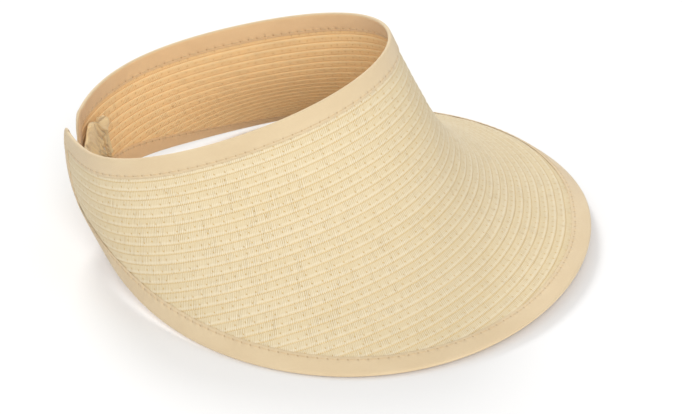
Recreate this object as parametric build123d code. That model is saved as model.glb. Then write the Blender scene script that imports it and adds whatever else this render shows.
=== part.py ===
"""Wide-brim roll-up sun visor of stitched braid, open at the crown, with a short ruched elastic at the back.

Frame: the visor stands on a table as it would be put down, on the lower edge of its brim.
+X is the front of the brim, +Y is the wearer's left, +Z is up, and z = 0 is the table.
The wall of the visor is described around the wearer's head. u is the angle round the head, 0 at the
front and 180 at the back, positive on the wearer's left. v is the depth below the top edge, measured
along the wall. proud is the height above the middle of the braid, positive on the outer side.
"""

import math
import os

import numpy as np
from build123d import *

# Plan of the top edge, an oval that is a little narrower at the front
HALF_LENGTH = 96.7
FRONT_POINT = 8.1
HALF_WIDTH = 76.7
SIDE_BULGE = 1.6
EDGE_DIP = 1.3

# Slope of the wall below the plane of the top edge, in degrees, at these depths
STATION_DEPTHS = (0, 30, 60, 95, 135, 185)
FRONT_SLOPES = (82, 81, 80, 64, 44, 18)
SIDE_SLOPES = (92, 72, 53, 45, 36, 28)
BACK_SLOPES = (66, 80, 96, 84, 75, 66)

# Depth of the outer edge: a long brim in front, a plain band behind
EDGE_DEPTH_MEAN = 121.0
EDGE_DEPTH_FRONT = 65.0
EDGE_DEPTH_TAPER = -4.5

# The rim isn't flat: at the front left it lifts a little and then curls down at its very edge
LIFT = 2.6
LIFT_START = 70.0
LIFT_FULL = 100.0
CURL = 31.5
CURL_WIDTH = 18.0
CURL_FULL = 4.0
CURL_ONSET = 12.0
CURL_PEAK = 0.325

# At the back right it tucks in towards the head
TUCK = 8.0
TUCK_WIDTH = 30.0
TUCK_MIDDLE = -131.0
TUCK_REACH = 49.0

# The right tail springs outward towards its end
RIGHT_FLARE = 11.0
FLARE_START = 140.0
HALF_TURN = 180.0

# How the visor stands: its top edge leans back, and this is the middle of the top edge
TILT = 15.4
RING_CENTRE = (-63.21, 0.1, 101.63)

# Braid
ROW_PITCH = 5.44
FIRST_SEAM = 19.9 - 3 * ROW_PITCH
BRAID_THICK = 0.9
SHINGLE = 0.35
ROW_GAP = 0.2
EDGE_GAP = 0.6
SHORTEST_ROW_END = 0.9

# Binding tape, folded over every edge
TOP_TAPE = 12.0
BRIM_TAPE = 11.0
END_TAPE = 9.0
TAPE_THICK = 0.5
TAPE_GAP = 0.2
TAPE_STEPS = 4

# Thread of the binding seams
STITCH_PITCH = 5.6
STITCH_LENGTH = 3.6
STITCH_WIDE = 0.6
STITCH_THICK = 0.4
STITCH_LIFT = 0.1
SEAM_INSET = 1.8

# Tails: the back quarters of the band, which spring apart when the elastic stretches
HINGE_ANGLE = 135.0
HINGE_GAP = 0.3
TAIL_ENDS = {1: 183.0, -1: -171.0}
AXIS_CLEARANCE = 0.4

# Ruched elastic across the back
CASING_ENDS = {1: 161.0, -1: 211.0}
CASING_TOP = 20.0
CASING_BOTTOM = 48.0
CASING_OUTER = -2.2
CASING_THICK = 4.4
CASING_SKIN = 0.6
ELASTIC_TOP = 24.0
ELASTIC_BOTTOM = 44.0
ELASTIC_THICK = 1.2
ELASTIC_INSET = 2.0
ELASTIC_SAG = 3.0
HEM_LENGTH = 6.0

# How finely the wall is cut into flat facets
ANGLE_STEP = 5.0
SHORTEST_STEP = 0.5
BAND_STEPS = 5
END_TAPE_STEPS = 9
WALK_STEP = 0.05
DEPTH_LIMIT = 200


def plan(u):
    """Point of the top edge and outward direction at angle u."""
    t = math.radians(u)
    x = HALF_LENGTH * math.cos(t) + FRONT_POINT * math.cos(2 * t)
    y = HALF_WIDTH * math.sin(t) + SIDE_BULGE * math.sin(3 * t)
    dx = -HALF_LENGTH * math.sin(t) - 2 * FRONT_POINT * math.sin(2 * t)
    dy = HALF_WIDTH * math.cos(t) + 3 * SIDE_BULGE * math.cos(3 * t)
    size = math.hypot(dx, dy)
    return (x, y, EDGE_DIP * math.cos(2 * t)), (dy / size, -dx / size)


def edge_depth(u):
    t = math.radians(u)
    return EDGE_DEPTH_MEAN + EDGE_DEPTH_FRONT * math.cos(t) + EDGE_DEPTH_TAPER * math.cos(3 * t)


def right_flare(u):
    return RIGHT_FLARE * max(0.0, (-u - FLARE_START) / (HALF_TURN - FLARE_START)) ** 2


def smooth(share):
    """Soft step from 0 to 1."""
    share = np.clip(share, 0.0, 1.0)
    return share * share * (3 - 2 * share)


def rim_bend(u, depth):
    """Degrees that the curl at the front left and the tuck at the back right add to the slope."""
    t = math.radians(u)
    curl = smooth(u / CURL_ONSET) * math.sin(t) * max(0.0, math.cos(t)) ** 3 / CURL_PEAK
    tuck = max(0.0, 1 - ((u - TUCK_MIDDLE) / TUCK_REACH) ** 2) ** 2
    edge = edge_depth(u)
    lift = LIFT * smooth((depth - LIFT_START) / (LIFT_FULL - LIFT_START))
    down = (CURL + LIFT) * smooth((depth - edge + CURL_WIDTH) / (CURL_WIDTH - CURL_FULL))
    inward = TUCK * smooth((depth - edge + TUCK_WIDTH) / TUCK_WIDTH)
    return curl * (down - lift) + tuck * inward


def slopes(u):
    """Slopes at the station depths for angle u, blended smoothly between front, side and back."""
    c1, c2 = math.cos(math.radians(u)), math.cos(math.radians(2 * u))
    front, side, back = (np.array(s, float) for s in (FRONT_SLOPES, SIDE_SLOPES, BACK_SLOPES))
    return (front + back + 2 * side) / 4 + (front - back) / 2 * c1 + (front + back - 2 * side) / 4 * c2


profiles = {}


def profile(u):
    """Run outward and drop at each millimetre of depth, and the slope in radians."""
    key = round(u, 4)
    if key not in profiles:
        depth = np.arange(DEPTH_LIMIT + 1.0)
        slope = np.radians(np.interp(depth, STATION_DEPTHS, slopes(u)) + rim_bend(u, depth))
        middle = (slope[1:] + slope[:-1]) / 2
        run = np.concatenate([[0.0], np.cumsum(np.cos(middle))])
        drop = np.concatenate([[0.0], np.cumsum(np.sin(middle))])
        profiles[key] = depth, run, drop, slope
    return profiles[key]


def stand(x, y, z):
    """From the frame of the top edge to the frame of the table."""
    c, s = math.cos(math.radians(TILT)), math.sin(math.radians(TILT))
    cx, cy, cz = RING_CENTRE
    return (x * c - z * s + cx, y + cy, x * s + z * c + cz)


def wall_point(u, v, proud, flare=None):
    """Point at angle u, depth v and height proud of the braid's middle."""
    (x, y, z), (nx, ny) = plan(u)
    depth, run, drop, slope = profile(u)
    angle = float(np.interp(v, depth, slope))
    out = float(np.interp(v, depth, run)) + min(v, 0.0) * math.cos(angle)
    down = float(np.interp(v, depth, drop)) + min(v, 0.0) * math.sin(angle)
    out += proud * math.sin(angle) + (right_flare(u) if flare is None else flare)
    return stand(x + nx * out, y + ny * out, z - down + proud * math.cos(angle))


def angles(start, end):
    """Stations from start to end: both ends, and between them the whole steps that every piece shares."""
    low, high = sorted((start, end))
    steps = np.arange(math.ceil(low / ANGLE_STEP), math.floor(high / ANGLE_STEP) + 1) * ANGLE_STEP
    inside = [float(a) for a in steps if low + SHORTEST_STEP < a < high - SHORTEST_STEP]
    return [low, *inside, high]


def loft(sections):
    """Closed solid through polygons that all have the same number of corners."""
    wires = [Wire.make_polygon([Vector(*p) for p in corners], close=True) for corners in sections]
    return Solid.make_loft(wires, ruled=True)


def ribbon(stations, section):
    """Solid whose polygon at each angle is a list of (depth, proud) corners."""
    return loft([[wall_point(u, v, proud) for v, proud in section(u)] for u in stations])


def strip(v_top, v_bottom, low, high, flat_end=0.0):
    """Corners of a strip of wall between two depths, its lower edge raised by flat_end."""
    return [(v_top, low), (v_top, high), (v_bottom, high + flat_end), (v_bottom, low + flat_end)]


def angle_of_depth(limit, start, end):
    """Angle between start and end at which the outer edge is at this depth."""
    for _ in range(50):
        middle = (start + end) / 2
        if edge_depth(middle) > limit:
            start = middle
        else:
            end = middle
    return start


def braid_row(index, start, end):
    """One row of braid between two angles, cut off where it meets the outer edge, or None."""
    top = max(0.0, FIRST_SEAM + (index - 1) * ROW_PITCH)
    bottom = FIRST_SEAM + index * ROW_PITCH - ROW_GAP
    halves = [(start, end)] if start * end > 0 else [(0.0, start), (0.0, end)]
    if edge_depth(halves[0][0]) - EDGE_GAP < top + SHORTEST_ROW_END:
        return None
    spans = []
    for inner, outer in halves:
        sign = math.copysign(1.0, outer)
        limit = top + SHORTEST_ROW_END + EDGE_GAP
        if edge_depth(outer) < limit:
            outer = sign * angle_of_depth(limit, abs(inner), abs(outer))
        stations = angles(inner, outer)
        if edge_depth(outer) - EDGE_GAP < bottom < edge_depth(inner) - EDGE_GAP:
            stations.append(sign * angle_of_depth(bottom + EDGE_GAP, abs(inner), abs(outer)))
        spans += stations
    stations = sorted({round(u, 5) for u in spans})

    def section(u):
        low = min(bottom, edge_depth(u) - EDGE_GAP)
        rise = SHINGLE * (low - top) / (bottom - top)
        return strip(top, low, -BRAID_THICK / 2, BRAID_THICK / 2, rise)

    return ribbon(stations, section)


OUTER_FACE = BRAID_THICK / 2 + SHINGLE + TAPE_GAP
INNER_FACE = -BRAID_THICK / 2 - TAPE_GAP


def tape_section(edge, direction, width):
    """Folded tape: corners round an edge at this depth, with both legs running in direction."""
    steps = [float(s) for s in np.linspace(0.0, width, TAPE_STEPS + 1)]
    out_leg = [(edge + direction * s, OUTER_FACE + TAPE_THICK) for s in reversed(steps)]
    fold = [(edge - direction * TAPE_THICK, OUTER_FACE + TAPE_THICK)]
    fold += [(edge - direction * TAPE_THICK, INNER_FACE - TAPE_THICK)]
    in_leg = [(edge + direction * s, INNER_FACE - TAPE_THICK) for s in steps]
    back_in = [(edge + direction * s, INNER_FACE) for s in reversed(steps[1:])]
    back_out = [(edge + direction * s, OUTER_FACE) for s in steps[1:]]
    crease = [(edge + direction * TAPE_GAP, INNER_FACE), (edge + direction * TAPE_GAP, OUTER_FACE)]
    return out_leg[:-1] + fold + in_leg[1:] + back_in + crease + back_out


def top_tape(start, end):
    return ribbon(angles(start, end), lambda u: tape_section(-TAPE_GAP, 1, TOP_TAPE))


def brim_tape_depth(u):
    """Depth of wall under the brim tape, whose width is measured square to the slanting rim."""
    v = edge_depth(u)
    before, after = u - WALK_STEP, u + WALK_STEP
    step = Vector(*wall_point(after, v, 0)) - Vector(*wall_point(before, v, 0))
    return BRIM_TAPE * math.hypot(1.0, (edge_depth(after) - edge_depth(before)) / step.length)


def brim_tape(start, end):
    return ribbon(angles(start, end), lambda u: tape_section(edge_depth(u), -1, brim_tape_depth(u)))


def end_tape(side):
    """Tape folded round the free end of a tail, between the top and the brim tape."""
    degrees_per_mm = HALF_TURN / math.pi / arm(side)
    end = TAIL_ENDS[side]
    inner = end - side * END_TAPE * degrees_per_mm
    cap = end + side * TAPE_THICK * degrees_per_mm
    gap = end + side * TAPE_GAP * degrees_per_mm
    v_top = TOP_TAPE + TAPE_GAP
    v_bottom = edge_depth(end) - brim_tape_depth(end) - 2 * TAPE_GAP
    depths = np.linspace(v_top, v_bottom, END_TAPE_STEPS)

    def leg(low, high, stations):
        def section(u):
            return [(v, high) for v in depths] + [(v, low) for v in reversed(depths)]

        return ribbon(stations, section)

    outer = leg(OUTER_FACE, OUTER_FACE + TAPE_THICK, [inner, (inner + end) / 2, gap])
    under = leg(INNER_FACE - TAPE_THICK, INNER_FACE, [inner, (inner + end) / 2, gap])
    close = leg(INNER_FACE - TAPE_THICK, OUTER_FACE + TAPE_THICK, [gap, cap])
    return outer + under + close


def arm(side):
    """Radius of the band near the free end of a tail, for turning lengths into angles."""
    end = TAIL_ENDS[side]
    a = Vector(*wall_point(end - side, 0, 0))
    b = Vector(*wall_point(end, 0, 0))
    return (b - a).length * HALF_TURN / math.pi


def stitches(start, end, depth_at):
    """Short lengths of thread lying on the outer face of the tape, between two angles."""
    spots = [start]
    length = 0.0
    here = Vector(*wall_point(start, depth_at(start), 0))
    u = start
    while u < end - WALK_STEP:
        u += WALK_STEP
        there = Vector(*wall_point(u, depth_at(u), 0))
        length += (there - here).length
        here = there
        if length >= STITCH_PITCH / 2:
            spots.append(u)
            length = 0.0
    threads = []
    low = OUTER_FACE + TAPE_THICK + STITCH_LIFT
    for before, middle in zip(spots[1::2], spots[2::2]):
        share = STITCH_LENGTH / STITCH_PITCH
        first = middle + (before - middle) * share
        last = middle - (before - middle) * share
        if last > end:
            break

        def section(u):
            v = depth_at(u)
            return strip(v - STITCH_WIDE / 2, v + STITCH_WIDE / 2, low, low + STITCH_THICK)

        threads.append(ribbon([first, last], section))
    return Compound(threads)


def top_seam(u):
    return TOP_TAPE - SEAM_INSET


def brim_seam(u):
    return edge_depth(u) - brim_tape_depth(u) + SEAM_INSET


def back_point(u, v, proud):
    """Point across the back, where u runs past 180 on to the wearer's right."""
    share = (u - CASING_ENDS[1]) / (CASING_ENDS[-1] - CASING_ENDS[1])
    end_flare = right_flare(CASING_ENDS[-1] - 2 * HALF_TURN)
    wrapped = u if u <= HALF_TURN else u - 2 * HALF_TURN
    sag = ELASTIC_SAG * math.sin(math.pi * min(max(share, 0.0), 1.0))
    return wall_point(wrapped, v, proud - sag, flare=end_flare * smooth(share))


def back_band(start, end, v_top, v_bottom, low, high):
    """Band across the back of the head from angle start to angle end, past 180."""
    depths = np.linspace(v_top, v_bottom, BAND_STEPS)
    sections = []
    for u in angles(start, end):
        outer = [back_point(u, v, high) for v in depths]
        inner = [back_point(u, v, low) for v in reversed(depths)]
        sections.append(outer + inner)
    return loft(sections)


def elastic_casing():
    """Fabric tube round the elastic, open at its ends."""
    start, end = CASING_ENDS[1], CASING_ENDS[-1]
    low = CASING_OUTER - CASING_THICK
    tube = back_band(start, end, CASING_TOP, CASING_BOTTOM, low, CASING_OUTER)
    hollow = back_band(
        start - ELASTIC_INSET,
        end + ELASTIC_INSET,
        CASING_TOP + CASING_SKIN,
        CASING_BOTTOM - CASING_SKIN,
        low + CASING_SKIN,
        CASING_OUTER - CASING_SKIN,
    )
    return tube - hollow


def elastic_core():
    middle = CASING_OUTER - CASING_THICK / 2
    low, high = middle - ELASTIC_THICK / 2, middle + ELASTIC_THICK / 2
    start, end = CASING_ENDS[1] + ELASTIC_INSET, CASING_ENDS[-1] - ELASTIC_INSET
    return back_band(start, end, ELASTIC_TOP, ELASTIC_BOTTOM, low, high)


def casing_hem(side):
    """Folded hem that sews an end of the casing to the inside of a tail."""
    degrees = HEM_LENGTH * HALF_TURN / math.pi / arm(side)
    seam = CASING_ENDS[1] if side > 0 else CASING_ENDS[-1] - 2 * HALF_TURN
    near, far = seam - side * ROW_GAP, seam - side * degrees
    low = CASING_OUTER - CASING_THICK / 2
    high = INNER_FACE - TAPE_GAP

    def section(u):
        return strip(CASING_TOP, CASING_BOTTOM, low, high)

    return ribbon([near, (near + far) / 2, far], section)


def hinge_axis(side):
    """Two points of the line that a tail turns about, just outside the wall."""
    u = side * HINGE_ANGLE
    bottom = edge_depth(u) + TAPE_THICK
    proud = OUTER_FACE + TAPE_THICK + STITCH_THICK + AXIS_CLEARANCE
    top_end = Vector(*wall_point(u, -TAPE_THICK - TAPE_GAP, proud))
    low_end = Vector(*wall_point(u, bottom, proud))
    (_, _, _), (nx, ny) = plan(u)
    out = Vector(*stand(nx, ny, 0)) - Vector(*stand(0, 0, 0))
    along = (low_end - top_end).normalized()
    out = (out - along * out.dot(along)).normalized()
    bulge = 0.0
    for v in np.linspace(0, bottom, 25):
        offset = (Vector(*wall_point(u, float(v), proud)) - top_end).dot(out)
        bulge = max(bulge, offset)
    return top_end + out * bulge, low_end + out * bulge


def build():
    nodes = {}
    front = HINGE_ANGLE - HINGE_GAP / 2
    tail = HINGE_ANGLE + HINGE_GAP / 2
    index = 0
    while True:
        row = braid_row(index, -front, front)
        if row is None:
            break
        nodes[f"braid_row_{index + 1:02d}"] = row
        index += 1
    nodes["top_binding"] = top_tape(-front, front)
    nodes["brim_binding"] = brim_tape(-front, front)
    nodes["top_binding_thread"] = stitches(-front, front, top_seam)
    nodes["brim_binding_thread"] = stitches(-front, front, brim_seam)
    for name, side in (("left", 1), ("right", -1)):
        rows = [braid_row(i, side * tail, TAIL_ENDS[side]) for i in range(index)]
        nodes[f"{name}_tail_braid"] = Compound([row for row in rows if row])
        start, end = sorted((side * tail, TAIL_ENDS[side]))
        nodes[f"{name}_tail_top_binding"] = top_tape(start, end)
        nodes[f"{name}_tail_lower_binding"] = brim_tape(start, end)
        nodes[f"{name}_tail_end_binding"] = end_tape(side)
        thread = stitches(start, end, top_seam).solids() + stitches(start, end, brim_seam).solids()
        nodes[f"{name}_tail_thread"] = Compound(thread)
        nodes[f"{name}_casing_hem"] = casing_hem(side)
    nodes["elastic_casing"] = elastic_casing()
    nodes["elastic_band"] = elastic_core()
    return nodes


os.makedirs("parts", exist_ok=True)
for node, shape in build().items():
    export_step(shape, f"parts/{node}.step")
for label, which in (("left", 1), ("right", -1)):
    upper, lower = hinge_axis(which)
    print(label, "hinge axis", tuple(upper), tuple((lower - upper).normalized()))
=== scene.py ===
"""Sun visor of stitched straw braid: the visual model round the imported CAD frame.

Shapes are worked out in millimetres round the wearer's head, as the CAD part's are, and written in metres.
u is the angle round the head in degrees, 0 at the front and 180 at the back, positive on the wearer's left.
v is the depth below the top edge along the wall. proud is the height above the middle of the braid.
"""

import math

import bmesh
import bpy
import numpy as np
from mathutils import Matrix, Vector


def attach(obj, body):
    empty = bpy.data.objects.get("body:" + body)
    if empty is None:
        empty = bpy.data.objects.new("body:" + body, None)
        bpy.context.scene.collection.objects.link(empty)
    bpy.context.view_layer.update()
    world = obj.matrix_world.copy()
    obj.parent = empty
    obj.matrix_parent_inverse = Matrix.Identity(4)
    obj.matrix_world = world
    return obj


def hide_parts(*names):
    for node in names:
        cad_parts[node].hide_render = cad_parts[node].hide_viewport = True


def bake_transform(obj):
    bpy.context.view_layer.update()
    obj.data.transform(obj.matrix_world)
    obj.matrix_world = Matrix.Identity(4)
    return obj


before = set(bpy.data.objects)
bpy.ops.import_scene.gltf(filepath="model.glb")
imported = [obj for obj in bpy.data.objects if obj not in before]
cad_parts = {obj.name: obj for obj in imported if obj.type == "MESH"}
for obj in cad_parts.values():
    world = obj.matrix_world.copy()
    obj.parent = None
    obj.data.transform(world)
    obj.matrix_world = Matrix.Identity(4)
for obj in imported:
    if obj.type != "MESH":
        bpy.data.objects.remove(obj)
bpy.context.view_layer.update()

MM = 0.001

# Wall of the visor, as in the CAD part: its top edge, then its slopes in degrees at six depths
HALF_LENGTH = 96.7
FRONT_POINT = 8.1
HALF_WIDTH = 76.7
SIDE_BULGE = 1.6
EDGE_DIP = 1.3
STATION_DEPTHS = (0, 30, 60, 95, 135, 185)
FRONT_SLOPES = (82, 81, 80, 64, 44, 18)
SIDE_SLOPES = (92, 72, 53, 45, 36, 28)
BACK_SLOPES = (66, 80, 96, 84, 75, 66)

# Depth of the outer edge, and how its rim bends. At the front left the brim lifts a little and its rim curls
# down, and at the back right the rim tucks in. The flare is how the right tail springs out
EDGE_DEPTH_MEAN = 121.0
EDGE_DEPTH_FRONT = 65.0
EDGE_DEPTH_TAPER = -4.5
LIFT = 2.6
LIFT_START = 70.0
LIFT_FULL = 100.0
CURL = 31.5
CURL_WIDTH = 18.0
CURL_FULL = 4.0
CURL_ONSET = 12.0
CURL_PEAK = 0.325  # about the largest value of sin t times cos t cubed
TUCK = 8.0
TUCK_WIDTH = 30.0
TUCK_MIDDLE = -131.0
TUCK_REACH = 49.0
RIGHT_FLARE = 11.0
FLARE_START = 140.0
HALF_TURN = 180.0
DEPTH_LIMIT = 200  # the wall is worked out down to here

# How the top edge stands over the table, tilted back
TILT = 15.4
RING_CENTRE = (-63.21, 0.1, 101.63)

# Braid
ROW_PITCH = 5.44
FIRST_SEAM = 19.9 - 3 * ROW_PITCH  # the fourth seam is 19.9 deep
ROWS = 34
BRAID_THICK = 0.9
ROW_STEP = 0.6
SHORTEST_ROW = 0.6
LAST_BEFORE_EDGE = 0.3
RIB_PITCH = 1.1
BRAID_STITCH_PITCH = 5.8
BRAID_START = 400.0  # the braid's own length at the middle of the front, so that it's above 0 on both sides

# Tape and thread: the other two tapes and the rows stop under the end tape, COVERED short of the free end
TOP_TAPE = 12.0
BRIM_TAPE = 11.0
END_TAPE = 9.5
TAPE_OUTER = 1.35
TAPE_INNER = -1.05
CORNER = 6.0
COVERED = 4.0
END_OVERLAP = 1.1
SEAM_INSET = 1.9
STITCH_PITCH = 5.6
TAPE_START = 500 * STITCH_PITCH  # the tape's own length at the middle of the front
THREAD = 0.42
LAST_STITCH = 6.0
TAPE_STEP = 0.5
TOP_SEED = 31
BRIM_SEED = 41

# Points of the tape's folded section: on each leg, on the fold, and on the fold before the inner colour
LEG_POINTS = 11
FOLD_POINTS = 9
EDGE_TURN = 7
END_TURN = 8

# Back: angles of the free ends on each side, of the bend of the tails and of the casing's two seams
TAIL_ENDS = {1: 183.0, -1: 171.0}
CASING_ENDS = (161.0, 211.0)
CASING_TOP = 20.0
CASING_BOTTOM = 48.0
CASING_MIDDLE = (CASING_TOP + CASING_BOTTOM) / 2
CASING_HALF = (CASING_BOTTOM - CASING_TOP) / 2
CASING_OUTER = -2.2
CASING_THICK = 4.4
CASING_CLOTH = 0.4
CASING_SEED = 61
ELASTIC_HALF = 9.5
ELASTIC_SAG = 1.5
HEM_LENGTH = 7.0

SIDES = (("left", 1), ("right", -1))
BODY = {1: "left_tail", -1: "right_tail"}

# Camera and light, in metres, degrees and watts
CAMERA_PLACE = (0.10607, -1.0082, 0.64233)
CAMERA_AZIMUTH = 5.63
CAMERA_ELEVATION = 31.69
CAMERA_ROLL = -1.95
CAMERA_LENS = 103.3
LIGHT_AIM = (0, 0, 0.05)
KEY_LIGHT = {"place": (-0.6, 1.2, 1.2), "size": 0.6, "power": 13.5}
FRONT_LIGHT = {"place": (0.42, -1.65, 1.25), "size": 1.2, "power": 24.3}
GLOW = 0.65
FLOOR_REACH = 6.0
FLOOR_GREY = 0.86


# ---------------------------------------------------------------- shape of the wall


def plan(u):
    """Points of the top edge and outward directions at angles u, as arrays."""
    t = np.radians(u)
    x = HALF_LENGTH * np.cos(t) + FRONT_POINT * np.cos(2 * t)
    y = HALF_WIDTH * np.sin(t) + SIDE_BULGE * np.sin(3 * t)
    dx = -HALF_LENGTH * np.sin(t) - 2 * FRONT_POINT * np.sin(2 * t)
    dy = HALF_WIDTH * np.cos(t) + 3 * SIDE_BULGE * np.cos(3 * t)
    size = np.hypot(dx, dy)
    return x, y, EDGE_DIP * np.cos(2 * t), dy / size, -dx / size


def right_flare(u):
    """How far the right tail springs outwards, in mm."""
    return RIGHT_FLARE * np.maximum(0.0, (-u - FLARE_START) / (HALF_TURN - FLARE_START)) ** 2


def edge_depth(u):
    """Depth of the outer edge: the brim's in front and the band's behind."""
    t = np.radians(u)
    return EDGE_DEPTH_MEAN + EDGE_DEPTH_FRONT * np.cos(t) + EDGE_DEPTH_TAPER * np.cos(3 * t)


def stand(points):
    """From the frame of the top edge to the frame of the table."""
    c, s = math.cos(math.radians(TILT)), math.sin(math.radians(TILT))
    x, y, z = points[..., 0], points[..., 1], points[..., 2]
    cx, cy, cz = RING_CENTRE
    return np.stack([x * c - z * s + cx, y + cy, x * s + z * c + cz], axis=-1)


def smooth(share):
    """Soft step from 0 to 1."""
    share = np.clip(share, 0.0, 1.0)
    return share * share * (3 - 2 * share)


def rim_bend(u, depth):
    """Degrees that the curl at the front left and the tuck at the back right add to the slope."""
    t = np.radians(u)[:, None]
    curl = smooth(u / CURL_ONSET)[:, None] * np.sin(t) * np.maximum(0.0, np.cos(t)) ** 3 / CURL_PEAK
    tuck = np.maximum(0.0, 1 - ((u - TUCK_MIDDLE) / TUCK_REACH) ** 2)[:, None] ** 2
    edge = edge_depth(u)[:, None]
    lift = LIFT * smooth((depth - LIFT_START) / (LIFT_FULL - LIFT_START))
    down = (CURL + LIFT) * smooth((depth - edge + CURL_WIDTH) / (CURL_WIDTH - CURL_FULL))
    inward = TUCK * smooth((depth - edge + TUCK_WIDTH) / TUCK_WIDTH)
    return curl * (down - lift) + tuck * inward


def profiles(u):
    """Run outward, drop and slope at each millimetre of depth, one line for each angle."""
    c1, c2 = np.cos(np.radians(u))[:, None], np.cos(2 * np.radians(u))[:, None]
    front, side, back = (np.array(s, float)[None] for s in (FRONT_SLOPES, SIDE_SLOPES, BACK_SLOPES))
    at = (front + back + 2 * side) / 4 + (front - back) / 2 * c1 + (front + back - 2 * side) / 4 * c2
    depth = np.arange(DEPTH_LIMIT + 1.0)
    slope = np.stack([np.interp(depth, STATION_DEPTHS, line) for line in at])
    slope = np.radians(slope + rim_bend(u, depth[None]))
    middle = (slope[:, 1:] + slope[:, :-1]) / 2
    start = np.zeros((len(u), 1))
    run = np.concatenate([start, np.cumsum(np.cos(middle), axis=1)], axis=1)
    drop = np.concatenate([start, np.cumsum(np.sin(middle), axis=1)], axis=1)
    return run, drop, slope


def wall(u, v, proud, flare=None):
    """Points of the wall. u has one angle a line; v and proud have a line of values for each angle."""
    u = np.asarray(u, float)
    v = np.broadcast_to(np.asarray(v, float), np.broadcast_shapes(np.shape(v), np.shape(proud)))
    proud = np.broadcast_to(np.asarray(proud, float), v.shape)
    run, drop, slope = profiles(u)
    line = np.arange(len(u))[:, None]
    low = np.clip(np.floor(v), 0, DEPTH_LIMIT - 1).astype(int)
    part = np.clip(v, 0, DEPTH_LIMIT) - low
    angle = slope[line, low] * (1 - part) + slope[line, low + 1] * part
    above = np.minimum(v, 0.0)
    out = run[line, low] * (1 - part) + run[line, low + 1] * part + above * np.cos(angle)
    down = drop[line, low] * (1 - part) + drop[line, low + 1] * part + above * np.sin(angle)
    out = out + proud * np.sin(angle) + (right_flare(u) if flare is None else flare)[:, None]
    down = down - proud * np.cos(angle)
    x, y, z, nx, ny = (a[:, None] for a in plan(u))
    return stand(np.stack([x + nx * out, y + ny * out, z - down], axis=-1))


def wall_spot(u, v):
    """One point in the middle of the braid, in metres, as a tuple."""
    return tuple(float(c) * MM for c in wall([u], [[v]], [[0.0]])[0, 0])


def per_mm(side):
    """Degrees of angle in one mm of the band at the free end."""
    a = np.array(wall_spot(side * (TAIL_ENDS[side] - 1), CASING_TOP)) / MM
    b = np.array(wall_spot(side * TAIL_ENDS[side], CASING_TOP)) / MM
    return 1.0 / np.linalg.norm(b - a)


def walked(u, v):
    """Length walked along the wall at depth v, in mm, from the first angle."""
    line = wall(u, np.broadcast_to(v, (len(u),))[:, None], np.zeros((len(u), 1)))[:, 0]
    return np.concatenate([[0.0], np.cumsum(np.linalg.norm(np.diff(line, axis=0), axis=1))])


def rim_stretch(u):
    """How much longer a width is down the wall when it is measured square to the slanting rim."""
    step = 0.05
    v = edge_depth(u)[:, None]
    a, b = wall(u - step, v, 0.0)[:, 0], wall(u + step, v, 0.0)[:, 0]
    return np.hypot(1.0, (edge_depth(u + step) - edge_depth(u - step)) / np.linalg.norm(b - a, axis=1))


def wobble(s, wave, seed):
    """Smooth random line of about unit height along s, with this wavelength in mm."""
    maker = np.random.default_rng(seed)
    total = np.zeros_like(s, float)
    for _ in range(5):
        k = 2 * math.pi / (wave * maker.uniform(0.6, 1.7))
        total += np.sin(k * s + maker.uniform(0, 2 * math.pi))
    return total / 2.2


# ---------------------------------------------------------------- meshes


def cloth_marks(shape, *values):
    """The cloth's own coordinates on a grid of points, from three values or arrays that fit the grid."""
    return np.stack([np.broadcast_to(value, shape) for value in values], axis=-1)


def mesh_object(name, points, faces, cloth):
    """A mesh from points in mm, with the cloth's own coordinates as an attribute for its material."""
    data = bpy.data.meshes.new(name)
    data.from_pydata([tuple(p) for p in np.asarray(points) * MM], [], [tuple(f) for f in faces])
    data.validate()
    attribute = data.attributes.new("cloth", "FLOAT_VECTOR", "POINT")
    attribute.data.foreach_set("vector", np.asarray(cloth, np.float32).ravel())
    data.polygons.foreach_set("use_smooth", [len(polygon.vertices) <= 4 for polygon in data.polygons])
    data.update()
    piece = bpy.data.objects.new(name, data)
    bpy.context.scene.collection.objects.link(piece)
    return piece


def tube_faces(stations, ring, caps=True):
    """Quads of a grid of stations by ring, closed round the ring, and its two end caps."""
    faces = []
    for i in range(stations - 1):
        for j in range(ring):
            k = (j + 1) % ring
            faces.append((i * ring + j, i * ring + k, (i + 1) * ring + k, (i + 1) * ring + j))
    if caps:
        faces.append(tuple(reversed(range(ring))))
        faces.append(tuple((stations - 1) * ring + j for j in range(ring)))
    return faces


def outward(piece):
    """Turns the faces of a closed piece outwards, if they all face inwards."""
    work = bmesh.new()
    work.from_mesh(piece.data)
    if work.calc_volume(signed=True) < 0:
        bmesh.ops.reverse_faces(work, faces=work.faces)
    work.to_mesh(piece.data)
    work.free()
    piece.data.update()
    return piece


def tube(name, points, cloth):
    """A tube from a grid of points, stations by ring. Its flat ends have corners of their own, so that the
    shading of two tubes that meet end to end runs on from one to the other."""
    stations, ring = points.shape[:2]
    faces = tube_faces(stations, ring, caps=False)
    base = stations * ring
    faces.append(tuple(reversed(range(base, base + ring))))
    faces.append(tuple(range(base + ring, base + 2 * ring)))
    corners = np.concatenate([points.reshape(-1, 3), points[0], points[-1]])
    marks = np.concatenate([cloth.reshape(-1, 3), cloth[0], cloth[-1]])
    return outward(mesh_object(name, corners, faces, marks))


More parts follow.
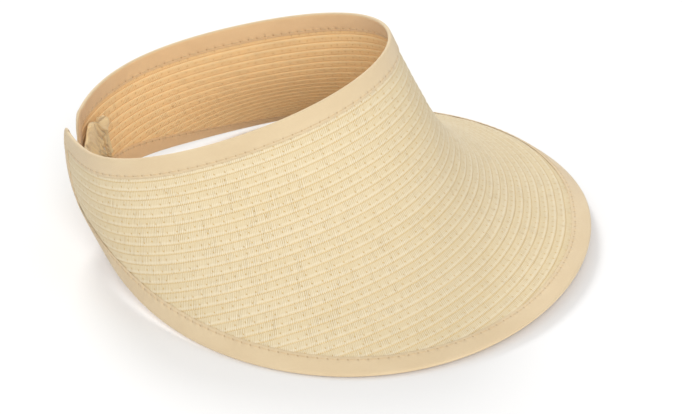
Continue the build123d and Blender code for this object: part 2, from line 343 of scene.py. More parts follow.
def cloth_tube(name, points, cloth, thick):
    """A hollow tube of cloth this thick, open at both ends, from a grid of points, stations by ring."""
    stations, ring = points.shape[:2]
    along = np.gradient(points, axis=0)
    around = np.roll(points, -1, axis=1) - np.roll(points, 1, axis=1)
    normal = np.cross(along, around)
    normal /= np.maximum(np.linalg.norm(normal, axis=2), 1e-9)[..., None]
    middle = points.mean(axis=1, keepdims=True)
    side = np.sign(((points - middle) * normal).sum())
    within = points - side * thick * normal
    faces = tube_faces(stations, ring, caps=False)
    base, last = stations * ring, (stations - 1) * ring
    faces += [tuple(base + i for i in reversed(face)) for face in faces]
    for j in range(ring):
        k = (j + 1) % ring
        faces.append((k, j, base + j, base + k))
        faces.append((last + j, last + k, base + last + k, base + last + j))
    corners = np.concatenate([points.reshape(-1, 3), within.reshape(-1, 3)])
    marks = np.concatenate([cloth.reshape(-1, 3), cloth.reshape(-1, 3)])
    return outward(mesh_object(name, corners, faces, marks))


def two_faced(piece, stations, ring, first_inner, outer, inner):
    """Gives a tube the inner material from this point of its ring on, and the outer one before it."""
    inside = np.zeros(len(piece.data.polygons), int)
    quads = np.arange((stations - 1) * ring)
    inside[: len(quads)] = (quads % ring) >= first_inner
    piece.data.materials.append(outer)
    piece.data.materials.append(inner)
    piece.data.polygons.foreach_set("material_index", inside)


def join_meshes(name, parts):
    """One mesh object from a list of (points, faces, cloth)."""
    points, faces, cloth, base = [], [], [], 0
    for some_points, some_faces, some_cloth in parts:
        points.append(some_points)
        cloth.append(some_cloth)
        faces += [tuple(base + i for i in face) for face in some_faces]
        base += len(some_points)
    return mesh_object(name, np.concatenate(points), faces, np.concatenate(cloth))


# ---------------------------------------------------------------- materials


def rgb(r, g, b):
    """Linear colour from 8-bit display values."""

    def linear(c):
        c /= 255
        return c / 12.92 if c <= 0.04045 else ((c + 0.055) / 1.055) ** 2.4

    return (linear(r), linear(g), linear(b), 1.0)


class Nodes:
    """Short calls for building a material's node tree."""

    def __init__(self, name):
        self.material = bpy.data.materials.new(name)
        self.material.use_nodes = True
        self.tree = self.material.node_tree
        self.shader = self.tree.nodes["Principled BSDF"]

    def node(self, kind, **settings):
        made = self.tree.nodes.new(kind)
        for key, value in settings.items():
            setattr(made, key, value)
        return made

    def link(self, a, b):
        self.tree.links.new(a, b)

    def feed(self, socket, value):
        if hasattr(value, "is_output"):
            self.link(value, socket)
        else:
            socket.default_value = value

    def math(self, operation, a, b=0.0, c=0.0, clamp=False):
        made = self.node("ShaderNodeMath", operation=operation, use_clamp=clamp)
        for socket, value in zip(made.inputs, (a, b, c)):
            self.feed(socket, value)
        return made.outputs[0]

    def mix(self, share, a, b):
        made = self.node("ShaderNodeMix", data_type="RGBA")
        self.feed(made.inputs[0], share)
        self.feed(made.inputs[6], a)
        self.feed(made.inputs[7], b)
        return made.outputs[2]

    def ramp(self, value, low, high, start=0.0, end=1.0):
        made = self.node("ShaderNodeMapRange", interpolation_type="SMOOTHSTEP")
        for socket, v in zip(made.inputs, (value, low, high, start, end)):
            self.feed(socket, v)
        return made.outputs[0]

    def cloth(self):
        made = self.node("ShaderNodeAttribute", attribute_name="cloth")
        parts = self.node("ShaderNodeSeparateXYZ")
        self.link(made.outputs["Vector"], parts.inputs[0])
        return parts.outputs

    def vector(self, x, y=0.0, z=0.0):
        made = self.node("ShaderNodeCombineXYZ")
        for socket, value in zip(made.inputs, (x, y, z)):
            self.feed(socket, value)
        return made.outputs[0]

    def stretched(self, x, y, x_scale, y_scale, z):
        return self.vector(self.math("MULTIPLY", x, x_scale), self.math("MULTIPLY", y, y_scale), z)

    def weave(self, along, across, pitch):
        """Over and under of a plain weave, from -1 to 1."""
        warp = self.math("SINE", self.math("MULTIPLY", along, 2 * math.pi / pitch))
        weft = self.math("SINE", self.math("MULTIPLY", across, 2 * math.pi / pitch))
        return self.math("MULTIPLY", warp, weft)

    def noise(self, vector, scale, detail):
        made = self.node("ShaderNodeTexNoise")
        self.link(vector, made.inputs["Vector"])
        made.inputs["Scale"].default_value = scale
        made.inputs["Detail"].default_value = detail
        return made.outputs[0]

    def random(self, vector):
        made = self.node("ShaderNodeTexWhiteNoise", noise_dimensions="3D")
        self.link(vector, made.inputs["Vector"])
        return made.outputs["Value"]

    def finish(self, colour, height, distance, roughness, sheen):
        self.link(colour, self.shader.inputs["Base Color"])
        bump = self.node("ShaderNodeBump")
        bump.inputs["Strength"].default_value = 1.0
        bump.inputs["Distance"].default_value = distance * MM
        self.link(height, bump.inputs["Height"])
        self.link(bump.outputs[0], self.shader.inputs["Normal"])
        self.feed(self.shader.inputs["Roughness"], roughness)
        self.shader.inputs["Sheen Weight"].default_value = sheen
        self.shader.inputs["Sheen Roughness"].default_value = 0.5
        self.shader.inputs["Specular IOR Level"].default_value = 0.25
        return self.material


def straw_material(name, base, pale, gold, seam, lip_highlight_at, seed):
    """Woven paper braid. cloth x is mm along the row, y is 0 to 1 across it and z is the row's number."""
    n = Nodes(name)
    along, across, row = n.cloth()
    offset = n.math("MULTIPLY", row, 3.37)
    # fine ribs that lean and waver, and fade in and out
    shaky = n.noise(n.vector(n.math("MULTIPLY", along, 0.35), offset, seed), 1.0, 3.0)
    slant = n.math("MULTIPLY_ADD", across, 0.5, along)
    ribbed = n.math("MULTIPLY_ADD", shaky, 1.2, slant)
    phase = n.math("DIVIDE", ribbed, RIB_PITCH)
    wave = n.math("MULTIPLY_ADD", n.math("SINE", n.math("MULTIPLY", phase, 2 * math.pi)), 0.5, 0.5)
    patch_across = n.math("MULTIPLY_ADD", across, 0.9, offset)
    patch = n.noise(n.vector(n.math("MULTIPLY", along, 0.16), patch_across, seed), 1.0, 2.0)
    strength = n.ramp(patch, 0.35, 0.65, 0.25, 1.0)
    rib_gap_shade = n.math("MULTIPLY", n.math("POWER", n.math("SUBTRACT", 1.0, wave), 2.0), strength)
    luck = n.random(n.vector(n.math("FLOOR", n.math("ADD", phase, 0.25)), row, seed))
    shaded_deep_gap = n.math("MULTIPLY", rib_gap_shade, n.ramp(luck, 0.6, 1.0))
    # sewing stitches along the row, each a small dot with a slanting tail
    beat = n.math("ADD", n.math("DIVIDE", along, BRAID_STITCH_PITCH), offset)
    beat_cell = n.math("FLOOR", beat)
    jitter = n.random(n.vector(beat_cell, row, seed + 5))
    rise = n.random(n.vector(beat_cell, row, seed + 9))
    place = n.math("SUBTRACT", n.math("FRACT", beat), n.math("MULTIPLY_ADD", jitter, 0.25, 0.38))
    dx = n.math("MULTIPLY", place, BRAID_STITCH_PITCH)
    dy = n.math("MULTIPLY", n.math("SUBTRACT", across, n.math("MULTIPLY_ADD", rise, 0.3, 0.4)), ROW_PITCH)
    far = n.math("SQRT", n.math("ADD", n.math("MULTIPLY", dx, dx), n.math("MULTIPLY", dy, dy)))
    stitch = n.ramp(far, 0.18, 0.55, 1.0, 0.0)
    lean = n.math("MULTIPLY_ADD", dy, -0.5, dx)
    beside = n.ramp(n.math("ABSOLUTE", lean), 0.1, 0.4, 1.0, 0.0)
    tail = n.math("MULTIPLY", beside, n.ramp(far, 0.7, 1.5, 1.0, 0.0))
    mark = n.math("MAXIMUM", stitch, n.math("MULTIPLY", tail, 0.35))
    # the seam between two rows, darkened by its thread and by painted shade in the groove, and the lip beside
    # it lightened with a painted highlight
    thread_and_groove_shade = n.math("MAXIMUM", n.ramp(across, 0.87, 0.98), n.ramp(across, 0.0, 0.1, 1.0, 0.0))
    comb = n.math("MULTIPLY_ADD", rib_gap_shade, 0.6, 0.4)
    low, top, full, end = lip_highlight_at
    lip = n.math("MULTIPLY", n.ramp(across, low, top), n.ramp(across, full, end, 1.0, 0.0))
    cloud = n.noise(n.vector(n.math("MULTIPLY", along, 0.02), n.math("MULTIPLY", row, 0.31), seed), 1.0, 3.0)
    fibre_across = n.math("MULTIPLY", across, 14.0)
    fibre = n.noise(n.vector(n.math("MULTIPLY", along, 1.7), fibre_across, offset), 1.0, 2.0)
    row_luck = n.random(n.vector(row, seed, 0.0))
    tone = n.math("MULTIPLY_ADD", n.math("SUBTRACT", cloud, 0.5), 0.6, 0.3)
    tone = n.math("ADD", tone, n.math("MULTIPLY", n.math("SUBTRACT", row_luck, 0.5), 0.2))
    tone = n.math("ADD", tone, n.math("MULTIPLY", n.math("SUBTRACT", fibre, 0.5), 0.8), clamp=True)
    colour = n.mix(tone, base, gold)
    # painted highlight and shade of the ribs: paler on their crests and darker gold in the gaps between them,
    # following their bump
    crest_highlight = n.math("MULTIPLY", n.math("POWER", wave, 2.0), n.math("MULTIPLY", strength, 0.65))
    colour = n.mix(crest_highlight, colour, pale)
    colour = n.mix(n.math("MULTIPLY", rib_gap_shade, 0.7), colour, gold)
    # painted shade: a few deeper gaps between the ribs, darkened with the seam colour
    colour = n.mix(n.math("MULTIPLY", shaded_deep_gap, 0.45), colour, seam)
    # painted highlight along the lip of each row
    colour = n.mix(n.math("MULTIPLY", lip, 0.3), colour, pale)
    # the seam line: partly its thread colour, partly painted shade in the groove between rows, stronger
    # between the ribs
    colour = n.mix(n.math("MULTIPLY", n.math("MULTIPLY", thread_and_groove_shade, comb), 0.7), colour, seam)
    colour = n.mix(n.math("MULTIPLY", mark, 0.9), colour, seam)
    height = n.math("MULTIPLY", n.math("MULTIPLY", wave, strength), 0.5)
    height = n.math("SUBTRACT", height, n.math("MULTIPLY", shaded_deep_gap, 0.3))
    height = n.math("SUBTRACT", height, n.math("MULTIPLY", stitch, 0.7))
    height = n.math("ADD", height, n.math("MULTIPLY", fibre, 0.35))
    rough = n.math("MULTIPLY_ADD", fibre, 0.2, 0.55)
    return n.finish(colour, height, 0.32, rough, 0.05)


def tape_material(name, base, shade, hole, seed):
    """Plain-woven tape. cloth x is mm along it, y is mm in from its edge and z is mm from its seam."""
    n = Nodes(name)
    along, across, seam = n.cloth()
    weave = n.weave(along, across, 0.42)
    cloud = n.noise(n.stretched(along, across, 0.03, 0.06, seed), 1.0, 3.0)
    slub = n.noise(n.stretched(along, across, 0.5, 3.0, seed), 1.0, 2.0)
    pucker = n.math("COSINE", n.math("MULTIPLY", along, 2 * math.pi / STITCH_PITCH))
    near_seam = n.ramp(n.math("ABSOLUTE", seam), 0.0, 2.6, 1.0, 0.0)
    beat = n.math("FRACT", n.math("DIVIDE", along, STITCH_PITCH))
    dx = n.math("MULTIPLY", n.math("SUBTRACT", beat, 0.5), STITCH_PITCH)
    far = n.math("SQRT", n.math("ADD", n.math("MULTIPLY", dx, dx), n.math("MULTIPLY", seam, seam)))
    shaded_needle_hole = n.ramp(far, 0.28, 0.75, 1.0, 0.0)
    tone = n.math("MULTIPLY_ADD", n.math("SUBTRACT", cloud, 0.5), 1.1, 0.35)
    tone = n.math("ADD", tone, n.math("MULTIPLY", n.math("SUBTRACT", slub, 0.5), 0.5), clamp=True)
    pale = tuple(min(1.0, c * 1.05) for c in base[:3]) + (1.0,)
    colour = n.mix(tone, pale, shade)
    # painted shade where the weave's threads dip under
    colour = n.mix(n.math("MULTIPLY_ADD", weave, -0.06, 0.06), colour, shade)
    # painted shade of the needle holes along the seam
    colour = n.mix(n.math("MULTIPLY", shaded_needle_hole, 0.6), colour, hole)
    height = n.math("MULTIPLY", weave, 0.12)
    height = n.math("ADD", height, n.math("MULTIPLY", n.math("MULTIPLY", pucker, near_seam), 0.45))
    height = n.math("SUBTRACT", height, n.math("MULTIPLY", shaded_needle_hole, 0.5))
    height = n.math("ADD", height, n.math("MULTIPLY", slub, 0.25))
    return n.finish(colour, height, 0.4, 0.82, 0.25)


def cotton_material(name, base, shade, fold_shade, seed):
    """Soft plain cotton. cloth x and y are mm along and across it, and z rises to 0 in hollows of folds,
    which are darkened with painted shade.
    """
    n = Nodes(name)
    along, across, shade_in_folds = n.cloth()
    weave = n.weave(along, across, 0.5)
    cloud = n.noise(n.stretched(along, across, 0.15, 0.1, seed), 1.0, 3.0)
    tone = n.math("MULTIPLY_ADD", n.math("SUBTRACT", cloud, 0.5), 1.4, 0.45, clamp=True)
    colour = n.mix(tone, base, shade)
    # painted shade where the weave's threads dip under
    colour = n.mix(n.math("MULTIPLY_ADD", weave, -0.08, 0.08), colour, shade)
    # painted shade in the hollows of the folds
    colour = n.mix(n.ramp(shade_in_folds, -0.45, 0.0, 0.0, 0.55), colour, fold_shade)
    height = n.math("MULTIPLY_ADD", weave, 0.15, n.math("MULTIPLY", cloud, 0.8))
    return n.finish(colour, height, 0.4, 0.85, 0.3)


def thread_material(name, base, shade):
    """Twisted sewing thread. cloth x is mm along it and y is turns round it."""
    n = Nodes(name)
    along, around, _ = n.cloth()
    turn = n.math("ADD", n.math("MULTIPLY", along, 1.6), around)
    ply = n.math("MULTIPLY_ADD", n.math("SINE", n.math("MULTIPLY", turn, 2 * math.pi)), 0.5, 0.5)
    # painted shade in the grooves of the twist, the raised plies paler
    colour = n.mix(ply, shade, base)
    return n.finish(colour, ply, 0.12, 0.7, 0.2)


# On the straw, pale is the painted highlight colour of rib crests and lips; gold is a darker tone of the
# straw and also painted shade between ribs; seam is the thread colour, also painted shade in grooves and deep
# gaps.
straw = straw_material(
    "straw_outer",
    base=rgb(219, 203, 170),
    pale=rgb(236, 225, 202),
    gold=rgb(206, 183, 134),
    seam=rgb(205, 168, 100),
    lip_highlight_at=(0.55, 0.7, 0.8, 0.9),
    seed=3.0,
)
# The inner faces' copy of the straw: the same braid, its warmer colours painted in to stand in for the warm
# light bounced inside the visor.
straw_painted_light_copy = straw_material(
    "straw_inner_painted_light",
    base=rgb(252, 214, 158),
    pale=rgb(255, 236, 192),
    gold=rgb(240, 196, 138),
    seam=rgb(216, 166, 108),
    lip_highlight_at=(0.04, 0.14, 0.26, 0.4),
    seed=8.0,
)
tape = tape_material("tape_outer", rgb(221, 200, 164), rgb(212, 187, 148), rgb(182, 146, 102), 2.0)
# The inner faces' copy of the tape: the same tape, its warmer colours painted in to stand in for the warm
# light bounced inside the visor.
tape_painted_light_copy = tape_material("tape_inner_painted_light", rgb(238, 204, 158), rgb(226, 188, 142), rgb(180, 130, 82), 6.0)
cotton = cotton_material("casing_cotton", rgb(246, 224, 178), rgb(230, 203, 154), rgb(176, 138, 88), 4.0)
thread = thread_material("sewing_thread", rgb(228, 203, 162), rgb(208, 176, 130))
knit = cotton_material("elastic_knit", rgb(232, 226, 212), rgb(206, 198, 182), rgb(190, 180, 160), 9.0)


# ---------------------------------------------------------------- braid rows


def bend(piece):
    """Bakes the piece's transform into its mesh."""
    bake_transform(piece)


def angle_at_depth(depth):
    """Largest angle at which the outer edge is still this deep, to a twentieth of a degree."""
    u = np.linspace(0, HALF_TURN, int(HALF_TURN * 20) + 1)
    return float(u[edge_depth(u) >= depth][-1])


# Section of a row, down its outer face and back up its inner one: share of the width from its top edge, and
# mm outwards from that face of a flat strip
OUTER_LINE = (
    (0.0, -0.03),
    (0.05, 0.01),
    (0.14, 0.07),
    (0.3, 0.11),
    (0.5, 0.13),
    (0.66, 0.17),
    (0.78, 0.23),
    (0.87, 0.24),
    (0.94, 0.17),
    (0.99, 0.06),
    (1.03, 0.0),
)
INNER_LINE = (
    (1.03, 0.15),
    (0.93, -0.08),
    (0.8, -0.12),
    (0.6, -0.15),
    (0.4, -0.2),
    (0.22, -0.27),
    (0.1, -0.22),
    (0.0, -0.06),
)
HALF_THICK = BRAID_THICK / 2


def braid_row(index, name, side):
    """Half a row of braid, from the middle of the front round to the free end."""
    top = max(0.0, FIRST_SEAM + (index - 1) * ROW_PITCH)
    bottom = FIRST_SEAM + index * ROW_PITCH
    end = angle_at_depth(top + SHORTEST_ROW)
    tail_end = TAIL_ENDS[side] - COVERED * per_mm(side)
    end = tail_end if end == HALF_TURN else min(end, tail_end)
    count = max(6, int(end / ROW_STEP) + 1)
    u = side * np.linspace(0.0, end, count)
    s = side * walked(u, np.full(len(u), top + ROW_PITCH / 2))
    low = np.minimum(bottom, edge_depth(u) - LAST_BEFORE_EDGE)
    share = np.array([p[0] for p in OUTER_LINE] + [p[0] for p in INNER_LINE])
    lift = np.array([p[1] + HALF_THICK for p in OUTER_LINE] + [p[1] - HALF_THICK for p in INNER_LINE])
    outer = np.arange(len(share)) < len(OUTER_LINE)
    # small unevenness of hand-fed sewing
    wander = 0.12 * wobble(s, 60.0, 100 + index)
    swell = 0.05 * wobble(s, 22.0, 200 + index * 2)
    v = top + (low - top)[:, None] * share[None]
    v = v + wander[:, None] * np.sin(np.pi * np.clip(share, 0.05, 0.95))[None]
    proud = lift[None] + swell[:, None] * np.where(outer, 1, 0.3)[None]
    # where the slanting rim cuts the row narrower, it lies lower under the tape
    cut = ((low - top) / (bottom - top))[:, None]
    proud = proud - np.where(outer, 1.0, 0.0)[None] * (1 - cut) * 0.1
    cloth = cloth_marks(v.shape, s[:, None] + BRAID_START, share[None] * cut, float(index))
    piece = tube(name, wall(u, v, proud), cloth)
    two_faced(piece, len(u), len(share), len(OUTER_LINE), straw, straw_painted_light_copy)
    return piece


def make_rows():
    for index in range(ROWS):
        for label, side in SIDES:
            piece = braid_row(index, f"braid_row_{index + 1:02d}_{label}", side)
            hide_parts(f"braid_row_{index + 1:02d}", f"{label}_tail_braid")
            bend(piece)


# ---------------------------------------------------------------- binding tape


def folded_line(width):
    """Cross-section of tape folded over an edge: (distance in from the edge, height) round the whole loop."""
    raw_edge, fold_start = 0.6, 1.2
    legs = np.concatenate([[0.0, 0.12], np.linspace(raw_edge, width - fold_start, LEG_POINTS - 2)])
    outer = [(width - d, TAPE_OUTER - 0.42 * max(0.0, 1 - d / raw_edge)) for d in legs]
    middle = (TAPE_OUTER + TAPE_INNER) / 2
    half = (TAPE_OUTER - TAPE_INNER) / 2
    fold = []
    for a in np.linspace(90, -90, FOLD_POINTS + 2)[1:-1]:
        t = math.radians(a)
        fold.append((0.75 - 1.45 * math.cos(t), middle + half * math.sin(t)))
    inner = [(width - d, TAPE_INNER + 0.3 * max(0.0, 1 - d / raw_edge)) for d in reversed(legs)]
    hidden_in = [(width, TAPE_INNER + 0.45), (width / 2, TAPE_INNER + 0.5)]
    hidden_out = [(width / 2, TAPE_OUTER - 0.5), (width, TAPE_OUTER - 0.45)]
    return outer + fold + inner + hidden_in + [(fold_start, 0.0)] + hidden_out


def leg_signs(count):
    """1 on the outer leg of the folded line, -1 on its inner leg and 0 on the fold and the hidden faces."""
    order = np.arange(count)
    start = LEG_POINTS + FOLD_POINTS
    on_inner = (order >= start) & (order < start + LEG_POINTS)
    return np.where(order < LEG_POINTS, 1.0, np.where(on_inner, -1.0, 0.0))


def tape_piece(name, side, edge_at, stretch_at, direction, width, seed):
    """Tape folded over an edge, from the middle of the front round to the free end on one side."""
    end = TAIL_ENDS[side] - COVERED * per_mm(side)
    u = side * np.linspace(0.0, end, int(end / TAPE_STEP) + 1)
    edge, stretch = edge_at(u), stretch_at(u)
    s = side * walked(u, edge + direction * (width - SEAM_INSET) * stretch)
    line = np.array(folded_line(width))
    distance, lift = line[:, 0], line[:, 1]
    seam = distance - (width - SEAM_INSET)
    # stitches pull the tape down along the seam and let it swell between them
    pull = np.exp(-((seam / 0.8) ** 2))
    beat = np.cos(2 * math.pi * s / STITCH_PITCH)
    sag = -0.16 * pull[None] - 0.09 * np.exp(-((seam / 1.8) ** 2))[None] * (0.5 - 0.5 * beat)[:, None]
    ease = 0.08 * wobble(s, 35.0, seed)[:, None] * np.sin(np.pi * np.clip(distance / width, 0, 1))[None]
    wave = 0.06 * wobble(s, 14.0, seed + 1)[:, None] * np.clip(1 - distance / width, 0, 1)[None]
    ripple = sag + ease + wave
    proud = lift[None] + leg_signs(len(line))[None] * ripple
    drift = 0.14 * wobble(s, 48.0, seed + 2)
    v = distance[None] + drift[:, None] * (distance / width)[None] ** 2
    v = edge[:, None] + direction * stretch[:, None] * v
    cloth = cloth_marks(v.shape, s[:, None] + TAPE_START, distance[None], seam[None])
    piece = tube(name, wall(u, v, proud), cloth)
    two_faced(piece, len(u), len(line), LEG_POINTS + EDGE_TURN, tape, tape_painted_light_copy)
    return piece


# Where each tape's edge lies, how much its width stretches down the wall, which way it reaches, and its width
TOP_PLAN = (np.zeros_like, np.ones_like, 1, TOP_TAPE)
BRIM_PLAN = (edge_depth, rim_stretch, -1, BRIM_TAPE)


def make_tapes():
    for label, side in SIDES:
        top = tape_piece(f"top_binding_{label}", side, *TOP_PLAN, TOP_SEED)
        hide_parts("top_binding", f"{label}_tail_top_binding")
        brim = tape_piece(f"brim_binding_{label}", side, *BRIM_PLAN, BRIM_SEED)
        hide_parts("brim_binding", f"{label}_tail_lower_binding")
        cover = end_tape(f"end_binding_{label}", side)
        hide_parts(f"{label}_tail_end_binding")
        bend(top)
        bend(brim)
        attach(cover, BODY[side])


def end_tape(name, side):
    """Tape folded round the free end of the band, over the ends of the other two tapes."""
    line = np.array(folded_line(END_TAPE))
    distance, lift = line[:, 0], line[:, 1]
    degrees = per_mm(side)
    depth = float(edge_depth(np.array([side * TAIL_ENDS[side]]))[0])
    v = np.linspace(-END_OVERLAP, depth + END_OVERLAP, 120)
    near_top = np.clip((CORNER - (v + END_OVERLAP)) / CORNER, 0, 1)
    near_low = np.clip((CORNER - (depth + END_OVERLAP - v)) / CORNER, 0, 1)
    round_off = CORNER * (1 - np.sqrt(1 - np.maximum(near_top, near_low) ** 2 * 0.999))
    seam = distance - (END_TAPE - SEAM_INSET)
    pull = -0.16 * np.exp(-((seam / 0.8) ** 2))
    face = leg_signs(len(line))
    # its raw edge lies down on the rows, and it is thin where it runs past their ends
    lip = -0.2 * np.exp(-(((END_TAPE - distance) / 1.0) ** 2))
    squeeze = 0.45 + 0.55 * smooth((distance + 0.7) / 5)
    over_tape = 1 - smooth((v - TOP_TAPE + 2) / 5) * smooth((depth - BRIM_TAPE + 2 - v) / 5)
    rows = []
    for k, depth_here in enumerate(v):
        shrink = (END_TAPE - round_off[k]) / END_TAPE
        inward = round_off[k] + distance * shrink
        u = side * (TAIL_ENDS[side] - inward * degrees)
        ends = min(depth_here + END_OVERLAP, v[-1] - depth_here, 2.5) / 2.5
        thin = 0.3 + 0.7 * math.sqrt(1 - (1 - ends) ** 2)
        pucker = 0.05 * math.sin(depth_here * 2 * math.pi / 3.1) * (1 - distance / END_TAPE)
        proud = lift + np.sign(lift) * (0.3 * over_tape[k] - 0.1) + face * (pull + pucker + lip)
        proud = proud * squeeze
        rows.append(wall(u, np.full((len(line), 1), depth_here), (proud * thin)[:, None])[:, 0])
    cloth = cloth_marks((len(v), len(line)), v[:, None] + TAPE_START, distance[None], seam[None])
    piece = tube(name, np.stack(rows), cloth)
    two_faced(piece, len(v), len(line), LEG_POINTS + END_TURN, tape, tape_painted_light_copy)
    return piece


# ---------------------------------------------------------------- stitches


def stitch_row(name, side, end, seam_at, height):
    """Thread of one seam: a short rounded stitch between each two needle holes."""
    u = side * np.linspace(0.0, end, 2000)
    v = seam_at(u)
    s = walked(u, v)
    parts = []
    ring, stations = 6, 7
    sign = 1 if height > 0 else -1
    angles = np.linspace(0, 2 * np.pi, ring, endpoint=False)
    t = np.linspace(0.12, 0.88, stations)
    arch = np.sin(np.pi * np.clip((t - 0.12) / 0.76, 0, 1)) ** 0.5
    radius = THREAD / 2 * (0.35 + 0.65 * arch)
    dv = radius[:, None] * np.cos(angles)[None]
    dh = radius[:, None] * np.sin(angles)[None] * 0.8
    lift = height + sign * (-0.28 + 0.2 * arch)[:, None] + dh
    for hole in np.arange(STITCH_PITCH / 2, s[-1] - STITCH_PITCH, STITCH_PITCH):
        where = np.interp(hole + t * STITCH_PITCH, s, u)
        depth = np.interp(hole + t * STITCH_PITCH, s, v)
        points = wall(where, depth[:, None] + dv, lift)
        cloth = cloth_marks(dv.shape, (t * STITCH_PITCH)[:, None], angles[None] / (2 * np.pi), 0.0)
        parts.append((points.reshape(-1, 3), tube_faces(stations, ring), cloth.reshape(-1, 3)))
    piece = join_meshes(name, parts)
    piece.data.materials.append(thread)
    return outward(piece)


def top_seam(u):
    return np.full(np.shape(u), TOP_TAPE - SEAM_INSET)


def brim_seam(u):
    return edge_depth(u) - (BRIM_TAPE - SEAM_INSET) * rim_stretch(u)


def make_stitches():
    for label, side in SIDES:
        for which, seam in (("top", top_seam), ("brim", brim_seam)):
            for face, height in (("outer", TAPE_OUTER), ("inner", TAPE_INNER)):
                name = f"{which}_stitches_{face}_{label}"
                piece = stitch_row(name, side, TAIL_ENDS[side] - LAST_STITCH, seam, height)
                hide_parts(f"{which}_binding_thread", f"{label}_tail_thread")
                bend(piece)


# ---------------------------------------------------------------- gathered elastic


def back_wall(u, v, proud):
    """Points across the back, where u runs past 180 on to the wearer's right."""
    start, end = CASING_ENDS
    share = np.clip((u - start) / (end - start), 0, 1)
    wrapped = np.where(u > HALF_TURN, u - 2 * HALF_TURN, u)
    flare = right_flare(np.array([end - 2 * HALF_TURN]))[0] * smooth(share)
    sag = ELASTIC_SAG * np.sin(np.pi * share)
    return wall(wrapped, v, proud - sag[:, None], flare=flare)


def hill(x, width):
    """1 at 0, falling away smoothly on both sides."""
    return np.exp(-((x / width) ** 2))


def rounded_box(ring, corner_across, corner_through):
    """Two lines from -1 to 1 round a flat ring, across and through it, squarer as the corners go to 0."""
    around = np.linspace(0, 2 * np.pi, ring, endpoint=False)
    across = np.sign(np.cos(around)) * np.abs(np.cos(around)) ** corner_across
    through = np.sign(np.sin(around)) * np.abs(np.sin(around)) ** corner_through
    return across, through


def casing_lengths(u):
    """Length along the casing from its left end, its whole length, and the length from its nearer end."""
    radius = HALF_WIDTH + 3 * SIDE_BULGE
    s = np.radians(u - CASING_ENDS[0]) * radius
    total = math.radians(CASING_ENDS[1] - CASING_ENDS[0]) * radius
    return s, total, np.minimum(s, total - s)[:, None]


def casing_back(from_end):
    """The casing lies further back away from its two hems."""
    return 1.6 * smooth((from_end - 6) / 10)


def pleats(s, total, v, across, seed):
    """Narrow pleats that lean and fan out towards the lower edge, 0 to 1 high."""
    maker = np.random.default_rng(seed)
    fold = np.zeros(v.shape)
    for centre in np.arange(-4.0, total + 14, 2.0):
        place = centre + maker.uniform(-0.7, 0.7)
        lean = 0.75 + maker.uniform(-0.35, 0.35)
        width = maker.uniform(0.45, 0.85)
        depth = maker.uniform(0.5, 1.0)
        line = s[:, None] - place + lean * (v - CASING_MIDDLE)
        fold = np.maximum(fold, depth * hill(line, width) * hill(across - maker.uniform(-0.1, 1.1), 1.1))
    return fold


def casing_relief(s, total, from_end, v, fold):
    """Height of the folds on the side of the head, in mm, from the pleats and the larger folds."""
    down = v - CASING_TOP
    # wide puffs along the upper edge, and a larger one and a knob at each end
    puffs = np.zeros(v.shape)
    for centre in np.arange(27.0, total - 24, 8.5):
        puffs += 1.5 * hill(s[:, None] - centre + 0.7 * down, 3.2) * hill(down - 4, 9)
    teardrop = 2.2 * hill(from_end - 15.5, 4.8) * hill(down - 1, 8)
    knob = 3.2 * hill(from_end, 4.5) * hill(down - 2.5, 6)
    # a sharp double fold slants between these two
    line = from_end - 8.5 + 0.9 * (down - 3)
    upper = smooth((15 - down) / 5)
    double = (1.2 * hill(line - 1.7, 0.8) + 1.4 * hill(line + 1.4, 0.8) - 1.8 * hill(line, 0.7)) * upper
    quiet = 1 - np.clip(0.3 * (teardrop + knob), 0, 0.95)
    # the gathers swell below the teardrop, and a crease parts them from the hem
    belly = 3.0 * hill(from_end - 20, 6) * smooth((down - 5) / 9)
    crease = hill(from_end - 4.5, 1.1) * smooth((down - 8) / 5)
    height = fold * quiet * 2.0 + puffs + teardrop + knob + double + belly
    return height * (1 - crease) - 1.2 * crease


def gathered_casing(name, start, end, seed):
    """Fabric tube, its folds gathered by the elastic inside it."""
    count = 320
    u = np.linspace(start, end, count)
    s, total, from_end = casing_lengths(u)
    across, through = rounded_box(96, 0.75, 0.8)
    v = CASING_MIDDLE + CASING_HALF * across[None] * np.ones((count, 1))
    fold = pleats(s, total, v, across, seed)
    relief = casing_relief(s, total, from_end, v, fold)
    ends = np.minimum(smooth(s / 2.0 + 0.3), smooth((total - s) / 2.0 + 0.3))[:, None]
    inner_side = smooth(-through * 3)[None]
    h = CASING_OUTER - CASING_THICK / 2 + 1.2 * through[None] + casing_back(from_end)
    h = h - inner_side * (relief - 0.5) * ends + (1 - inner_side) * fold * 0.5
    h = np.clip(h, CASING_OUTER - CASING_THICK - 5.0, CASING_OUTER + 0.15)
    rise = 7.5 * hill(from_end - 17, 9) * smooth((CASING_MIDDLE - v) / 12)
    v = v - rise + across[None] * fold * 0.8
    points = back_wall(u, v, h)
    # the puff at each end leans over the hem beside it
    along = np.gradient(back_wall(u, [[CASING_MIDDLE]], [[0.0]])[:, 0], axis=0)
    along /= np.linalg.norm(along, axis=1)[:, None]
    lean_out = 5.0 * smooth((CASING_TOP + 12 - v) / 7) * inner_side
    lean_out = lean_out * (hill(total - s, 4)[:, None] - hill(s, 4)[:, None])
    points = points + along[:, None] * lean_out[..., None]
    # painted shade for the cotton: darker where the folds sink low and in the crease, and on the side that
    # lies against the wall
    shade = -np.clip(relief * 0.38, 0, 1) * inner_side - 0.3 * (1 - inner_side)
    piece = cloth_tube(name, points, cloth_marks(v.shape, s[:, None], v, shade), CASING_CLOTH)
    piece.data.materials.append(cotton)
    return piece


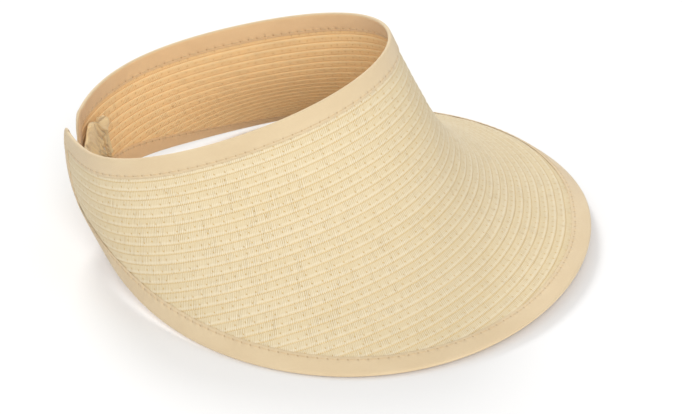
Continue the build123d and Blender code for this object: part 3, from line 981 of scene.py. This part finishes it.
def hem_piece(name, side):
    """Folded end of the casing, sewn flat to the inside of the tail."""
    seam = CASING_ENDS[0] if side > 0 else 2 * HALF_TURN - CASING_ENDS[1]
    along = np.linspace(-1.5, HEM_LENGTH, 26)
    u = side * (seam - along * per_mm(side))
    across, through = rounded_box(44, 0.3, 0.3)
    ridge = np.exp(-(((along - HEM_LENGTH + 1.3) / 1.0) ** 2))
    swell = 0.7 + 0.5 * ridge - 0.35 * np.exp(-(((along - 4.2) / 0.7) ** 2))
    swell *= np.clip((HEM_LENGTH + 0.05 - along) / 0.5, 0.2, 1)
    ripple = 0.14 * np.sin(across * 14 + side) + 0.1 * np.sin(across * 31)
    v = CASING_MIDDLE + (CASING_HALF + 0.4) * across[None] + 0.3 * np.sin(along / 1.3)[:, None]
    v = v + np.where(across < 0, 0.4, 0.0)[None] * (along - 3)[:, None]
    h = TAPE_INNER - 0.9 + through[None] * (swell[:, None] + ripple[None])
    piece = tube(name, wall(u, v, h), cloth_marks(v.shape, along[:, None], v, -0.5))
    piece.data.materials.append(cotton)
    return piece


def elastic_strip(name, start, end):
    """The flat elastic inside the casing."""
    stations, ring = 40, 12
    u = np.linspace(start, end, stations)
    across, through = rounded_box(ring, 0.3, 0.3)
    v = CASING_MIDDLE + ELASTIC_HALF * across[None] * np.ones((stations, 1))
    h = CASING_OUTER - CASING_THICK / 2 + 0.3 + 0.3 * through[None] + casing_back(casing_lengths(u)[2])
    points = back_wall(u, v, h).reshape(-1, 3)
    cloth = cloth_marks(v.shape, u[:, None], v, -0.5).reshape(-1, 3)
    piece = outward(mesh_object(name, points, tube_faces(stations, ring), cloth))
    piece.data.materials.append(knit)
    return piece


def make_back():
    """Casing, elastic and hems, cut in two behind the head, one half on each side."""
    split = sum(CASING_ENDS) / 2
    for label, side in SIDES:
        seam = CASING_ENDS[0] if side > 0 else CASING_ENDS[1]
        near, far = sorted((seam, split))
        casing = gathered_casing(f"elastic_casing_{label}", near, far, CASING_SEED)
        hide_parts("elastic_casing")
        strip = elastic_strip(f"elastic_band_{label}", near, far)
        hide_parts("elastic_band")
        hem = hem_piece(f"casing_hem_{label}", side)
        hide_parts(f"{label}_casing_hem")
        for piece, finish in ((casing, "casing_fabric"), (strip, "elastic")):
            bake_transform(piece)
        bend(hem)


# ---------------------------------------------------------------- stage, light, camera


def make_camera():
    data = bpy.data.cameras.new("camera")
    data.lens = CAMERA_LENS
    data.sensor_width = 36.0
    data.clip_start, data.clip_end = 0.05, 50.0
    camera = bpy.data.objects.new("camera", data)
    bpy.context.scene.collection.objects.link(camera)
    a, e = math.radians(CAMERA_AZIMUTH), math.radians(CAMERA_ELEVATION)
    back = Vector((math.sin(a) * math.cos(e), -math.cos(a) * math.cos(e), math.sin(e)))
    right = Vector((0, 0, 1)).cross(back).normalized()
    up = back.cross(right)
    level = Matrix((right, up, back)).transposed().to_4x4()
    roll = Matrix.Rotation(math.radians(CAMERA_ROLL), 4, "Z")
    camera.matrix_world = Matrix.Translation(CAMERA_PLACE) @ level @ roll
    bpy.context.scene.camera = camera


def area_light(name, place, size, power):
    data = bpy.data.lights.new(name, "AREA")
    data.shape = "DISK"
    data.size = size
    data.energy = power
    light = bpy.data.objects.new(name, data)
    light.location = place
    light.rotation_euler = (Vector(LIGHT_AIM) - Vector(place)).to_track_quat("-Z", "Y").to_euler()
    bpy.context.scene.collection.objects.link(light)


def make_stage():
    floor = bpy.data.meshes.new("floor")
    corners = [(x * FLOOR_REACH, y * FLOOR_REACH, 0) for x, y in ((-1, -1), (1, -1), (1, 1), (-1, 1))]
    floor.from_pydata(corners, [], [(0, 1, 2, 3)])
    table = bpy.data.objects.new("floor", floor)
    bpy.context.scene.collection.objects.link(table)
    n = Nodes("floor_paint")
    n.shader.inputs["Base Color"].default_value = (FLOOR_GREY, FLOOR_GREY, FLOOR_GREY, 1)
    n.shader.inputs["Roughness"].default_value = 0.9
    n.shader.inputs["Specular IOR Level"].default_value = 0.1
    floor.materials.append(n.material)
    world = bpy.data.worlds.new("studio")
    world.use_nodes = True
    glow = world.node_tree.nodes["Background"]
    glow.inputs["Color"].default_value = (1, 1, 1, 1)
    glow.inputs["Strength"].default_value = GLOW
    bpy.context.scene.world = world
    bpy.context.scene.view_settings.view_transform = "Standard"
    area_light("key", **KEY_LIGHT)
    area_light("front", **FRONT_LIGHT)


make_camera()
make_rows()
make_tapes()
make_stitches()
make_back()
make_stage()
